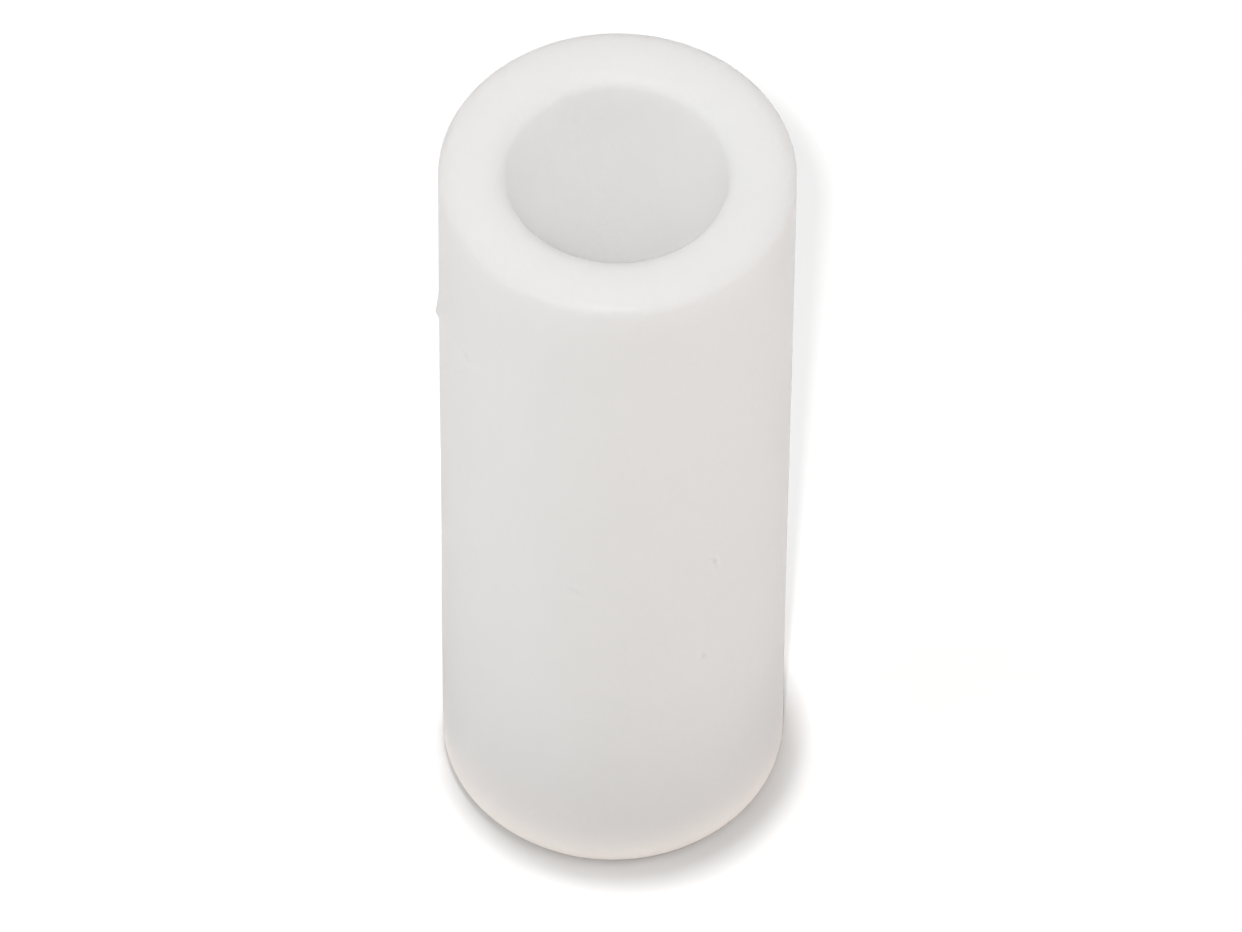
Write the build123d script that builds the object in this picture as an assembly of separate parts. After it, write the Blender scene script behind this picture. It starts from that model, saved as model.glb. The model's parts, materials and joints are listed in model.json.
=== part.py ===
from build123d import *
import os

# Round unthreaded standoff, moulded in one piece from natural nylon.
# A screw passes down the plain bore, and the two flat ends carry the clamping load,
# so the length between them is the gap that the standoff keeps between two boards.
# It stands on its lower end: the axis is +Z and the origin is the centre of that end.
# All sizes are in millimetres.

# Driving dimensions
bore_diameter = 2.95
wall = 0.905
length = 12.7
outer_edge_round = 0.28
bore_edge_round = 0.35

# The bore and the wall together give an outside diameter of 4.76.
bore_radius = bore_diameter / 2


def wall_section():
    """Half of the lengthwise section: the wall as a tall rectangle whose four corners are rounded."""
    with BuildSketch(Plane.XZ) as section:
        with Locations((bore_radius, 0)):
            Rectangle(wall, length, align=(Align.MIN, Align.MIN))
        fillet(section.vertices().group_by(Axis.X)[-1], outer_edge_round)
        fillet(section.vertices().group_by(Axis.X)[0], bore_edge_round)
    return section.sketch


def round_spacer():
    """The whole standoff: the wall section turned once about the bore's axis."""
    return revolve(wall_section(), axis=Axis.Z)


os.makedirs("parts", exist_ok=True)
export_step(round_spacer(), "parts/round_spacer.step")
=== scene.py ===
# %% [markdown]
# # A round nylon standoff
#
# The part is a short white sleeve, moulded in one shot from natural nylon. A screw runs down its plain
# bore, and its two flat ends hold a circuit board off a panel. The CAD model fixes its size and place.
# This lesson gives it a skin fine enough to look at closely, the milky finish of the real plastic, and a
# small photo studio. We start by loading the CAD frame, because every later piece takes its size from it.

# %% Load the fixed frame
import json
import math

import bmesh
import bpy
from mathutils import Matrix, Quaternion, Vector


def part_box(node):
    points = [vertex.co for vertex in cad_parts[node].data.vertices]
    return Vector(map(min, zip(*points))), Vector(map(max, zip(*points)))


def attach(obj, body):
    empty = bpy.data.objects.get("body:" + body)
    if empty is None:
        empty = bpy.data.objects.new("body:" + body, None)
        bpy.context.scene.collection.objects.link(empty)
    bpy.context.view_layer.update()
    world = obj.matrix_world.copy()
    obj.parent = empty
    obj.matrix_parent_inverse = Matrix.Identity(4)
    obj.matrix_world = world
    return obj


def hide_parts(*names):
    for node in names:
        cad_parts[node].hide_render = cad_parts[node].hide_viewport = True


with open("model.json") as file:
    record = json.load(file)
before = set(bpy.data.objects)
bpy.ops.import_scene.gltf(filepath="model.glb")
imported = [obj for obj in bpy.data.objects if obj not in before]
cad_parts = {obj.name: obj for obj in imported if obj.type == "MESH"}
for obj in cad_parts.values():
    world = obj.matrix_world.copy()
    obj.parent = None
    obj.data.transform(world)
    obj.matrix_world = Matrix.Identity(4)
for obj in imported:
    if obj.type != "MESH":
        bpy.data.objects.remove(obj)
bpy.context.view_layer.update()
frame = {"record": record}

MM = 0.001

# %% [markdown]
# ## The sizes
#
# Nothing is measured twice: the box of the CAD node gives the length and the outside radius, and the
# record's screw bore gives the bore. What the straight bore leaves of the length at each end is the round
# of its mouth. Only the small round on the outside edge has to be written again.

# %% Read the sizes
low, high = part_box("round_spacer")
length = high.z - low.z
outer_radius = (high.x - low.x) / 2
mounts = {mount["name"]: mount for mount in frame["record"]["mounts"]}
bore = mounts["screw_bore"]["dims"]
bore_radius = bore["r_mm"] * MM
wall = outer_radius - bore_radius
bore_round = (length - bore["length_mm"] * MM) / 2
outer_round = 0.28 * MM
print("wall %.3f mm, bore round %.3f mm" % (wall / MM, bore_round / MM))

# %% [markdown]
# ## Picking by place
#
# By hand we would click on faces and edges. In a script we pick them by a test on their place or
# direction, and then call the same operator that the menu calls.

# %% A helper that selects by a test
def pick(piece, kind, test):
    """Select the vertices, edges or faces of a piece in edit mode that pass a test, and no others."""
    bpy.ops.mesh.select_mode(type=kind)
    bpy.ops.mesh.select_all(action="DESELECT")
    shape = bmesh.from_edit_mesh(piece.data)
    items = {"VERT": shape.verts, "EDGE": shape.edges, "FACE": shape.faces}[kind]
    chosen = [item for item in items if test(item)]
    for item in chosen:
        item.select_set(True)
    shape.select_flush_mode()
    bmesh.update_edit_mesh(piece.data)
    return len(chosen)


def radius_of(vertex):
    """Distance of a vertex from the bore's axis."""
    return math.hypot(vertex.co.x, vertex.co.y)


# %% [markdown]
# ## The sleeve
#
# A tube could be spun from a section or cut with a Boolean. Here it starts as a cylinder with many sides,
# because then every face comes out as a clean strip. Both ends are inset by the wall, and bridging the two
# inset faces opens the bore straight through.

# %% Open a cylinder into a tube
sides_round = 192
level_share = 0.9
bpy.ops.object.select_all(action="DESELECT")
bpy.ops.mesh.primitive_cylinder_add(
    vertices=sides_round, radius=outer_radius, depth=length, location=(0, 0, length / 2)
)
sleeve = bpy.context.object
sleeve.name = "moulded_sleeve"
bpy.ops.object.transform_apply(location=True, rotation=False, scale=False)
bpy.ops.object.mode_set(mode="EDIT")
pick(sleeve, "FACE", lambda face: abs(face.normal.z) > level_share)
bpy.ops.mesh.inset(thickness=wall, use_individual=True)
bpy.ops.mesh.bridge_edge_loops()
print("tube:", len(bmesh.from_edit_mesh(sleeve.data).faces), "faces")

# %% [markdown]
# ## The soft edges
#
# A moulded part has no sharp edge: the outside rims are rounded, and the bore's mouths have a wider
# lead-in for the screw. A rim edge is one whose two ends are equally far from the axis, on an end face.

# %% Round the four rims
round_steps = 10
level_slack = 0.01 * MM
rim_slack = 0.02 * MM


def on_rim(edge, radius):
    """True for an edge that runs round an end face at about this radius."""
    level = abs(edge.verts[0].co.z - edge.verts[1].co.z) < level_slack
    at_radius = all(abs(radius_of(vertex) - radius) < rim_slack for vertex in edge.verts)
    return level and at_radius


for rim_radius, rim_round in ((outer_radius, outer_round), (bore_radius, bore_round)):
    count = pick(sleeve, "EDGE", lambda edge: on_rim(edge, rim_radius))
    bpy.ops.mesh.bevel(offset=rim_round, offset_type="OFFSET", segments=round_steps, affect="EDGES")
    print("rounded", count, "rim edges by %.2f mm" % (rim_round / MM))

# %% [markdown]
# ## Wide, shallow rounds
#
# In the photograph the end looks flat almost to its edges, because its rounds are wide but shallow. This
# bevel is as deep as it is wide. So the rounds are pressed towards the end faces afterwards: scaling
# along Z about the level of an end leaves the end itself where it is.

# %% Press the rounds flatter
depth_share = 0.6
for end in (0, length):
    pick(sleeve, "VERT", lambda vertex: abs(vertex.co.z - end) < bore_round + level_slack)
    bpy.ops.transform.resize(value=(1, 1, depth_share), center_override=(0, 0, end))
print("rounds %.2f and %.2f mm deep" % (outer_round * depth_share / MM, bore_round * depth_share / MM))

# %% [markdown]
# ## Finer strips
#
# The walls are still strips as long as the part. Cutting them across gives small even faces, which the
# next steps need to sway and mark the surface.

# %% Cut the strips across
wall_cuts = 84
pick(sleeve, "EDGE", lambda edge: abs(edge.verts[0].co.z - edge.verts[1].co.z) > length / 2)
bpy.ops.mesh.subdivide(number_cuts=wall_cuts)
print("skin:", len(bmesh.from_edit_mesh(sleeve.data).faces), "faces")

# %% [markdown]
# ## A skin that isn't perfect
#
# Nylon shrinks unevenly as it cools, so a moulded wall sways by a hundredth of a millimetre. No one
# measures that, but a highlight shows it. A Displace modifier with a cloud texture does it for the whole
# skin at once. A vertex group leaves out the lower end, which has to stay flat on the table.

# %% Let the skin sway
foot_height = 0.05 * MM
sway_height = 0.016 * MM
sway_width = 2.6 * MM
pick(sleeve, "VERT", lambda vertex: vertex.co.z > foot_height)
bpy.ops.object.vertex_group_add()
bpy.ops.object.vertex_group_assign()
bpy.ops.object.mode_set(mode="OBJECT")
shrinkage = bpy.data.textures.new("shrinkage", "CLOUDS")
shrinkage.noise_scale = sway_width
sway = sleeve.modifiers.new("sway", "DISPLACE")
sway.texture = shrinkage
sway.texture_coords = "LOCAL"
sway.strength = sway_height
sway.vertex_group = sleeve.vertex_groups[0].name
bpy.ops.object.modifier_apply(modifier=sway.name)
bpy.ops.object.vertex_group_remove(all=True)
waist = [vertex for vertex in sleeve.data.vertices if abs(vertex.co.z - length / 2) < length / 4]
outside = [radius_of(vertex) for vertex in waist if radius_of(vertex) > bore_radius + wall / 2]
print("outside radius from %.4f to %.4f mm" % (min(outside) / MM, max(outside) / MM))

# %% [markdown]
# ## Places on the wall
#
# The small marks of use are found by an angle round the axis and a height above the table. The angle
# counts from the front, where the camera will stand, towards the right. Before a mark is made, the faces
# around it are cut finer. Then the vertices along a short line are moved with proportional editing, which
# takes their neighbours along less and less.

# %% Helpers for small marks
def facing(azimuth):
    """Level direction away from the axis: 0 degrees is the front, 90 the right."""
    turn = math.radians(azimuth)
    return Vector((math.sin(turn), -math.cos(turn), 0))


def on_wall(azimuth, height):
    """Point of the outside wall at an angle and a height."""
    return facing(azimuth) * outer_radius + Vector((0, 0, height))


def refine(piece, centre, reach, cuts):
    """Cut the faces within reach of a point into smaller ones."""
    pick(piece, "FACE", lambda face: (face.calc_center_median() - centre).length < reach)
    bpy.ops.mesh.subdivide(number_cuts=cuts)


def push(piece, start, end, width, move, softness):
    """Move the vertices along a line, and those around it less and less."""
    run = end - start

    def near(vertex):
        share = max(0, min(1, (vertex.co - start).dot(run) / run.length_squared))
        return (vertex.co - start - run * share).length < width

    count = pick(piece, "VERT", near)
    bpy.ops.transform.translate(
        value=move,
        use_proportional_edit=True,
        proportional_edit_falloff="LINEAR",
        proportional_size=softness,
    )
    return count


# %% [markdown]
# ## The burr
#
# On the left a little tongue of plastic stands out, where the mould halves met and a trace of nylon was
# squeezed between them. It rises slowly from above and ends steeply below, so two pushes overlap: a short
# one at its crest and a longer one a little higher.

# %% Raise the burr
burr_side = -90
burr_crest = 9.53 * MM
burr_height = 0.058 * MM
burr_half_width = 0.045 * MM
burr_reach = 0.6 * MM
burr_cuts = 2
crest_run = Vector((0, 0, 0.01 * MM))
upper_shift = Vector((0, 0, 0.16 * MM))
crest_share = 0.55
short_slope = 0.06 * MM
long_slope = 0.17 * MM
burr_place = on_wall(burr_side, burr_crest)
bpy.ops.object.mode_set(mode="EDIT")
refine(sleeve, burr_place, burr_reach, burr_cuts)
outward = facing(burr_side) * burr_height
moved = 0
for crest, share, slope in (
    (burr_place, crest_share, short_slope),
    (burr_place + upper_shift, 1 - crest_share, long_slope),
):
    moved += push(sleeve, crest - crest_run, crest + crest_run, burr_half_width, outward * share, slope)
print("burr:", moved, "crest vertices raised by %.3f mm" % (burr_height / MM))

# %% [markdown]
# ## Nicks and a scuff
#
# Loose parts rattle in a bag and knock each other. Three marks show: two short nicks on the right and a
# faint slanted scuff high on the left. Each one is a line on the wall, pressed in by about two hundredths
# of a millimetre.

# %% Press the nicks in
mark_names = ("nick", "small_nick", "scuff")
mark_azimuths = (35.4, 31.7, -57.7)
mark_heights = (6.55 * MM, 4.48 * MM, 10.22 * MM)
mark_half_lengths = (0.10 * MM, 0.06 * MM, 0.12 * MM)
mark_leans = (-16, 0, -62)
mark_depths = (0.025 * MM, 0.018 * MM, 0.012 * MM)
mark_half_widths = (0.022 * MM, 0.022 * MM, 0.05 * MM)
softness_share = 2.3
reach_share = 3
mark_cuts = 4


def lean_line(azimuth, lean):
    """Direction up the wall, leaned to the right by some degrees as seen from outside."""
    across = facing(azimuth + 90)
    turn = math.radians(lean)
    return across * math.sin(turn) + Vector((0, 0, math.cos(turn)))


for name, azimuth, height, half, lean, depth, half_width in zip(
    mark_names, mark_azimuths, mark_heights, mark_half_lengths, mark_leans, mark_depths, mark_half_widths
):
    softness = half_width * softness_share
    place = on_wall(azimuth, height)
    run = lean_line(azimuth, lean) * half
    refine(sleeve, place, half + reach_share * softness, mark_cuts)
    moved = push(sleeve, place - run, place + run, half_width, -facing(azimuth) * depth, softness)
    print("%s: %d vertices pressed in by %.3f mm" % (name, moved, depth / MM))

bpy.ops.object.mode_set(mode="OBJECT")
bpy.ops.object.shade_smooth()
print("sleeve:", sum(len(face.vertices) - 2 for face in sleeve.data.polygons), "triangles")

# %% [markdown]
# ## Natural nylon
#
# Uncoloured nylon is milky. Light goes about half a millimetre into it, is scattered and comes out a
# little further along, so edges look soft and even the bore stays bright. Subsurface scattering does
# this. Its colour says how much light comes out again, which is nearly all of it, and its scale how far
# from where it went in.

# %% The milky body
scatter_depth = 0.6 * MM
refraction = 1.53
gloss_level = 0.25
nylon = bpy.data.materials.new("natural_nylon")
nylon.use_nodes = True
nodes = nylon.node_tree.nodes
links = nylon.node_tree.links
shader = nodes["Principled BSDF"]
shader.inputs["IOR"].default_value = refraction
shader.inputs["Specular IOR Level"].default_value = gloss_level
shader.inputs["Subsurface Weight"].default_value = 1.0
shader.inputs["Subsurface Radius"].default_value = (1, 1, 1)
shader.inputs["Subsurface Scale"].default_value = scatter_depth
sleeve.data.materials.append(nylon)
print("light goes about %.1f mm deep" % (scatter_depth / MM))

# %% [markdown]
# ## Clouds and flow lines in the colour
#
# Looked at closely, the white isn't even: the melt leaves soft clouds, and faint lines along the length
# where it flowed down the mould. Both are noise on Object coordinates, which stay with the part. For the
# flow lines a Mapping node squeezes the coordinates along Z, so the noise comes out stretched.

# %% Mix the whites
pale_white = (0.993, 0.992, 0.991, 1)
cream_white = (0.981, 0.980, 0.979, 1)
grey_white = (0.976, 0.975, 0.974, 1)
clouds_per_metre = 420
cloud_detail = 8
cloud_ramp = (0.35, 0.65)
flow_lines_per_metre = 1900
flow_detail = 2
flow_ramp = (0.52, 0.75)
flow_strength = 0.5
flow_squeeze = 0.1


def noise(features_per_metre, detail, vector):
    """Noise node with about this many features per metre."""
    node = nodes.new("ShaderNodeTexNoise")
    node.inputs["Scale"].default_value = features_per_metre
    node.inputs["Detail"].default_value = detail
    links.new(vector, node.inputs["Vector"])
    return node.outputs["Fac"]


def spread(value, low_in, high_in, low_out, high_out):
    """Map Range node, soft at both ends."""
    node = nodes.new("ShaderNodeMapRange")
    node.interpolation_type = "SMOOTHSTEP"
    node.inputs["From Min"].default_value = low_in
    node.inputs["From Max"].default_value = high_in
    node.inputs["To Min"].default_value = low_out
    node.inputs["To Max"].default_value = high_out
    links.new(value, node.inputs["Value"])
    return node.outputs["Result"]


def blend(share, under, over):
    """Mix a colour over another. Each is a colour or an output."""
    node = nodes.new("ShaderNodeMix")
    node.data_type = "RGBA"
    links.new(share, node.inputs["Factor"])
    for name, colour in (("A", under), ("B", over)):
        socket = next(s for s in node.inputs if s.name == name and s.type == "RGBA")
        if isinstance(colour, tuple):
            socket.default_value = colour
        else:
            links.new(colour, socket)
    return next(s for s in node.outputs if s.type == "RGBA")


place_on_part = nodes.new("ShaderNodeTexCoord").outputs["Object"]
stretch = nodes.new("ShaderNodeMapping")
stretch.inputs["Scale"].default_value = (1, 1, flow_squeeze)
links.new(place_on_part, stretch.inputs["Vector"])
cloud_noise = noise(clouds_per_metre, cloud_detail, place_on_part)
clouds = spread(cloud_noise, *cloud_ramp, 0, 1)
flow_noise = noise(flow_lines_per_metre, flow_detail, stretch.outputs["Vector"])
flow = spread(flow_noise, *flow_ramp, 0, flow_strength)
white = blend(clouds, pale_white, cream_white)
white = blend(flow, white, grey_white)
print("colour nodes:", len(nodes))

# %% [markdown]
# ## Painted shade in the marks
#
# The pressed-in marks get a little grey painted into their colour, as a painted shade of the dents. On the
# front there is a faint grey spot. Each is a soft spot: a Mapping node carries the coordinates to the mark,
# turns them with it and divides them by its size, and the length of the result says how far out of the
# mark a point is.

# %% Tint the marks
# painted shade: this grey darkens the dents as their own shade would
dent_shade_grey = (0.76, 0.75, 0.74, 1)
# a faint grey spot on the front, darker than the white around it
front_spot_grey = (0.88, 0.87, 0.85, 1)
dent_shade_strengths = (0.6, 0.45, 0.3)
tint_width_share = 2
tint_length_share = 1.3
tint_depth = 0.3 * MM
core_share = 0.25
front_spot_azimuth = -12.5
front_spot_height = 6.36 * MM
front_spot_lean = -60
front_spot_half_width = 0.09 * MM
front_spot_half_length = 0.17 * MM
front_spot_strength = 0.5


def spot(azimuth, height, lean, half_width, half_length, strength):
    """Share of a soft long spot on the outside wall: its strength in its core, 0 from its edge on."""
    there = nodes.new("ShaderNodeMapping")
    there.vector_type = "TEXTURE"
    there.inputs["Location"].default_value = on_wall(azimuth, height)
    there.inputs["Rotation"].default_value = (0, math.radians(lean), math.radians(azimuth))
    there.inputs["Scale"].default_value = (half_width, tint_depth, half_length)
    links.new(place_on_part, there.inputs["Vector"])
    outness = nodes.new("ShaderNodeVectorMath")
    outness.operation = "LENGTH"
    links.new(there.outputs["Vector"], outness.inputs[0])
    return spread(outness.outputs["Value"], core_share, 1, strength, 0)


for azimuth, height, half, lean, half_width, strength in zip(
    mark_azimuths, mark_heights, mark_half_lengths, mark_leans, mark_half_widths, dent_shade_strengths
):
    tint_half_width = half_width * tint_width_share
    tint_half_length = half * tint_length_share
    painted_dent_shade = spot(azimuth, height, lean, tint_half_width, tint_half_length, strength)
    # painted shade of each dent, blended into the white
    white = blend(painted_dent_shade, white, dent_shade_grey)
# the faint grey spot on the front
front_spot = spot(
    front_spot_azimuth, front_spot_height, front_spot_lean, front_spot_half_width, front_spot_half_length, front_spot_strength
)
white = blend(front_spot, white, front_spot_grey)
links.new(white, shader.inputs["Base Color"])
print("tinted", len(mark_names), "marks and a smudge")

# %% [markdown]
# ## The satin skin
#
# The mould was steel with a fine spark-eroded grain, and nylon copies it: the gloss is dull and a little
# uneven. Roughness takes its unevenness from wide noise. The grain itself is far too small to model, so it
# is the one thing here that is left to a Bump node.

# %% Roughness and grain
gloss_patches_per_metre = 800
gloss_detail = 3
gloss_ramp = (0.3, 0.7)
roughness_range = (0.40, 0.52)
grains_per_metre = 11000
grain_detail = 2
grain_strength = 0.6
grain_height = 0.012 * MM
gloss_noise = noise(gloss_patches_per_metre, gloss_detail, place_on_part)
gloss = spread(gloss_noise, *gloss_ramp, *roughness_range)
links.new(gloss, shader.inputs["Roughness"])
grain = nodes.new("ShaderNodeBump")
grain.inputs["Strength"].default_value = grain_strength
grain.inputs["Distance"].default_value = grain_height
links.new(noise(grains_per_metre, grain_detail, place_on_part), grain.inputs["Height"])
links.new(grain.outputs["Normal"], shader.inputs["Normal"])
print("material nodes in all:", len(nodes))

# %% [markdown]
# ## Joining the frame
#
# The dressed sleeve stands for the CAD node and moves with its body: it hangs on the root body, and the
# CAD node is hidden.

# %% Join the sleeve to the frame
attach(sleeve, "root")
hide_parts("round_spacer")

# %% [markdown]
# ## Light that goes to and fro
#
# Inside a white bore light is thrown from wall to wall many times before it finds the way out. Cycles
# gives up after a few bounces, and then the bore comes out far too dark. More lamps would only burn out
# the rest, so the right cure is to let light bounce more often.

# %% Allow more bounces
bounces = 40
bpy.context.scene.cycles.max_bounces = bounces
bpy.context.scene.cycles.diffuse_bounces = bounces
print("light may bounce", bounces, "times")

# %% [markdown]
# ## The paper
#
# The photograph was cut out and set on pure white. Real paper that bright would throw too much light back
# at the part. So the paper answers by the kind of ray. The camera and reflections see clean white paper,
# and the shadow on it. Light on its way to the part meets a duller, slightly warm card, and close to the
# foot a darker card with a painted shadow, for the light the part keeps from its own surroundings there.
# The helpers from the nylon are used again: they build in whichever tree the names nodes and links stand
# for.

# %% Lay the paper
floor_half = 0.6
seen_white = (0.685, 0.685, 0.685, 1)
# painted shadow: the dark card close to the foot stands for the part's shadow on the paper
painted_foot_shadow_card = (0.196, 0.189, 0.182, 1)
far_card = (0.540, 0.520, 0.501, 1)
near_share = 1.5
far_share = 3.2
near_reach = near_share * outer_radius
far_reach = far_share * outer_radius


def seen_directly():
    """1 for rays from the camera and for what shows in a reflection or through glass, 0 for the rest."""
    path = nodes.new("ShaderNodeLightPath")
    seen = path.outputs["Is Camera Ray"]
    for kind in ("Is Glossy Ray", "Is Transmission Ray"):
        either = nodes.new("ShaderNodeMath")
        either.operation = "MAXIMUM"
        links.new(seen, either.inputs[0])
        links.new(path.outputs[kind], either.inputs[1])
        seen = either.outputs["Value"]
    return seen


bpy.ops.object.select_all(action="DESELECT")
bpy.ops.mesh.primitive_plane_add(size=2 * floor_half, location=(0, 0, 0))
floor = bpy.context.object
floor.name = "studio_floor"
paper = bpy.data.materials.new("white_paper")
paper.use_nodes = True
nodes = paper.node_tree.nodes
links = paper.node_tree.links
nodes.clear()
from_foot = nodes.new("ShaderNodeVectorMath")
from_foot.operation = "LENGTH"
links.new(nodes.new("ShaderNodeTexCoord").outputs["Object"], from_foot.inputs[0])
distance = from_foot.outputs["Value"]
seen_card = nodes.new("ShaderNodeBsdfDiffuse")
seen_card.inputs["Color"].default_value = seen_white
dull_card = nodes.new("ShaderNodeBsdfDiffuse")
# the card colour carries the painted shadow: dark near the foot, plain further out
card_with_painted_shadow = blend(spread(distance, near_reach, far_reach, 0, 1), painted_foot_shadow_card, far_card)
links.new(card_with_painted_shadow, dull_card.inputs["Color"])
floor.data.materials.append(paper)
print("paper is dark to %.1f mm and plain from %.1f mm" % (near_reach / MM, far_reach / MM))

# %% [markdown]
# ## A warm line at the foot
#
# Light gets under the lower round and seeps back out through the plastic, which takes some of the blue out
# of it. In the photograph it is a pale warm line along the foot, half a millimetre high. Here a narrow ring
# of the card gives a little light of its own. The camera never sees the ring, only what it does.

# %% Warm the foot
ring_gap = 0.05 * MM
ring_width = 0.40 * MM
ring_inner = outer_radius + ring_gap
ring_outer = ring_inner + ring_width
ring_level = 1.45
ring_colour = (1, 0.87, 0.77, 1)


def add_glow(card, zone, level, colour):
    """A card that also gives light of its own where the zone is 1."""
    strength = nodes.new("ShaderNodeMath")
    strength.operation = "MULTIPLY"
    links.new(zone, strength.inputs[0])
    strength.inputs[1].default_value = level
    light = nodes.new("ShaderNodeEmission")
    light.inputs["Color"].default_value = colour
    links.new(strength.outputs["Value"], light.inputs["Strength"])
    both = nodes.new("ShaderNodeAddShader")
    links.new(card, both.inputs[0])
    links.new(light.outputs["Emission"], both.inputs[1])
    return both.outputs["Shader"]


ring = nodes.new("ShaderNodeMath")
ring.operation = "COMPARE"
links.new(distance, ring.inputs[0])
ring.inputs[1].default_value = (ring_inner + ring_outer) / 2
ring.inputs[2].default_value = (ring_outer - ring_inner) / 2
lit_card = add_glow(dull_card.outputs["BSDF"], ring.outputs["Value"], ring_level, ring_colour)
print("warm ring from %.2f to %.2f mm" % (ring_inner / MM, ring_outer / MM))

# %% [markdown]
# ## Light deep in the bore
#
# The real bore is bright far down, because light comes in through the milky wall all along it. The
# scattering here brings in less, and a faint white disc under the bore stands in for the rest: its light
# climbs from wall to wall and gets weaker on the way up. Then the two cards are mixed by the kind of ray.

# %% Light the bore from its foot
bore_level = 0.08
bore_light = (1, 1, 1, 1)
under_bore = nodes.new("ShaderNodeMath")
under_bore.operation = "LESS_THAN"
links.new(distance, under_bore.inputs[0])
under_bore.inputs[1].default_value = bore_radius
lit_card = add_glow(lit_card, under_bore.outputs["Value"], bore_level, bore_light)
by_ray = nodes.new("ShaderNodeMixShader")
links.new(seen_directly(), by_ray.inputs["Fac"])
links.new(lit_card, by_ray.inputs[1])
links.new(seen_card.outputs["BSDF"], by_ray.inputs[2])
paper_output = nodes.new("ShaderNodeOutputMaterial")
links.new(by_ray.outputs["Shader"], paper_output.inputs["Surface"])
print("disc under the bore at level %.2f" % bore_level)

# %% [markdown]
# ## The lamps
#
# The photograph has hardly a shadow on the part, so most of the light is broad: a big square lamp on each
# side and one behind. A small lamp beside the camera looks down the bore and lights its far wall, and a low
# one at the back left makes the bore's round gleam on the right. A lamp's level is how bright it makes a
# white card that faces it, and the levels add up to an ordinary white rather than a glare. The right side
# is a little warmer than the left.

# %% Hang the lamps
lamp_distance = 0.25


def soft_lamp(name, azimuth, elevation, size, level, colour):
    """Square lamp aimed at the middle of the sleeve, which lights a facing white card to this level."""
    rise = math.radians(elevation)
    away = facing(azimuth) * math.cos(rise) + Vector((0, 0, math.sin(rise)))
    lamp = bpy.data.lights.new(name, "AREA")
    lamp.size = size
    lamp.energy = level * math.pi ** 2 * lamp_distance ** 2
    lamp.color = colour
    holder = bpy.data.objects.new(name, lamp)
    holder.location = Vector((0, 0, length / 2)) + away * lamp_distance
    holder.rotation_euler = away.to_track_quat("Z", "Y").to_euler()
    bpy.context.scene.collection.objects.link(holder)
    print("%s at %.0f degrees, level %.3f" % (name, azimuth, level))
    return holder


soft_lamp("front_lamp", azimuth=-3.2, elevation=54, size=0.006, level=0.370, colour=(1, 0.990, 0.975))
soft_lamp("left_lamp", azimuth=-80, elevation=35, size=0.25, level=0.364, colour=(0.983, 0.983, 1))
soft_lamp("right_lamp", azimuth=80, elevation=35, size=0.25, level=0.347, colour=(1, 0.925, 0.920))
soft_lamp("back_lamp", azimuth=180, elevation=45, size=0.25, level=0.250, colour=(0.950, 1, 1))
soft_lamp("low_back_lamp", azimuth=-160, elevation=12, size=0.1, level=0.058, colour=(1, 0.740, 0.710))

# %% [markdown]
# ## A lamp for the paper alone
#
# The paper has to reach pure white, and the shadow close to the foot is short and soft, as under a lamp
# straight above. Such a lamp would spoil the part's own shading. Light linking gives it a list of things
# that it lights, with only the paper on it. The part still casts its shadow.

# %% Whiten the paper
paper_lamp = soft_lamp(
    "paper_lamp", azimuth=-147, elevation=88.8, size=0.0085, level=0.74, colour=(1, 1, 1)
)
paper_only = bpy.data.collections.new("lit_by_paper_lamp")
paper_only.objects.link(floor)
paper_lamp.light_linking.receiver_collection = paper_only

# %% [markdown]
# ## The surroundings
#
# A dim even dome fills what the lamps leave out. As with the paper, the camera and reflections see white
# where the dome is.

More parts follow.
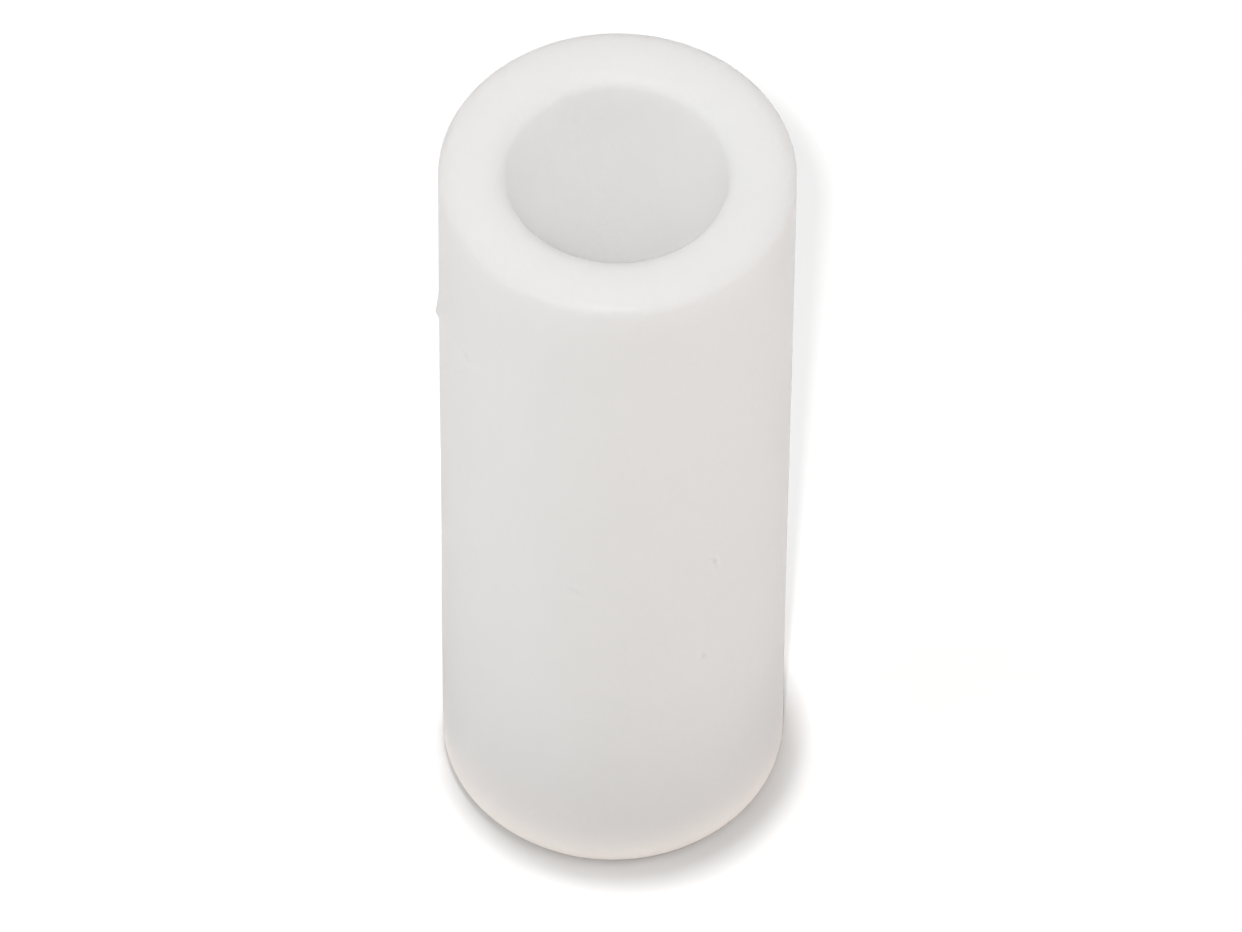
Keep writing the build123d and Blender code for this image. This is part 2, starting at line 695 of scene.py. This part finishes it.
# %% Fill from all around
dome_level = 0.092
dome_colour = (0.98, 1, 0.97, 1)
clean_white = (1, 1, 1, 1)
world = bpy.data.worlds.new("studio_dome")
bpy.context.scene.world = world
world.use_nodes = True
nodes = world.node_tree.nodes
links = world.node_tree.links
nodes.clear()
dome = nodes.new("ShaderNodeBackground")
dome.inputs["Color"].default_value = dome_colour
dome.inputs["Strength"].default_value = dome_level
white_wall = nodes.new("ShaderNodeBackground")
white_wall.inputs["Color"].default_value = clean_white
dome_by_ray = nodes.new("ShaderNodeMixShader")
links.new(seen_directly(), dome_by_ray.inputs["Fac"])
links.new(dome.outputs["Background"], dome_by_ray.inputs[1])
links.new(white_wall.outputs["Background"], dome_by_ray.inputs[2])
dome_output = nodes.new("ShaderNodeOutputWorld")
links.new(dome_by_ray.outputs["Shader"], dome_output.inputs["Surface"])
print("dome level %.3f" % dome_level)

# %% [markdown]
# ## The camera
#
# The end of a tube tells where the camera was: how flat its ellipse looks gives the angle, and how much
# narrower the foot is than the top gives the distance. The lens follows from the size of the part in the
# picture. The camera is moved sideways rather than shifted, until the part sits where the photograph has it.

# %% Place the camera
photo_width = 1242
photo_height = 932
view_elevation = math.radians(53.2)
view_roll = math.radians(0.55)
view_distance = 74.8 * outer_radius
pixels_per_radius = 174.45
middle_in_photo = (615.0, 455.0)
sensor_width = 36
nearest_seen = 0.005
furthest_seen = 5

sight = Vector((0, -math.cos(view_elevation), math.sin(view_elevation)))
turn = sight.to_track_quat("Z", "Y") @ Quaternion((0, 0, 1), view_roll)
pixel = outer_radius / pixels_per_radius
aim = Vector((0, 0, length / 2))
aim += turn @ Vector((1, 0, 0)) * (photo_width / 2 - middle_in_photo[0]) * pixel
aim -= turn @ Vector((0, 1, 0)) * (photo_height / 2 - middle_in_photo[1]) * pixel
lens = bpy.data.cameras.new("camera")
lens.sensor_width = sensor_width
lens.lens = sensor_width * view_distance / (photo_width * pixel)
lens.clip_start = nearest_seen
lens.clip_end = furthest_seen
camera = bpy.data.objects.new("camera", lens)
camera.location = aim + sight * view_distance
camera.rotation_euler = turn.to_euler()
bpy.context.scene.collection.objects.link(camera)
bpy.context.scene.camera = camera
print("camera %.0f mm away with a %.0f mm lens" % (view_distance / MM, lens.lens))

# %% [markdown]
# ## The view transform
#
# The dressed part has to be as large as the CAD part, apart from the burr. Last, the view transform is set
# to Standard.

# %% Set the view transform
bpy.context.scene.view_settings.view_transform = "Standard"
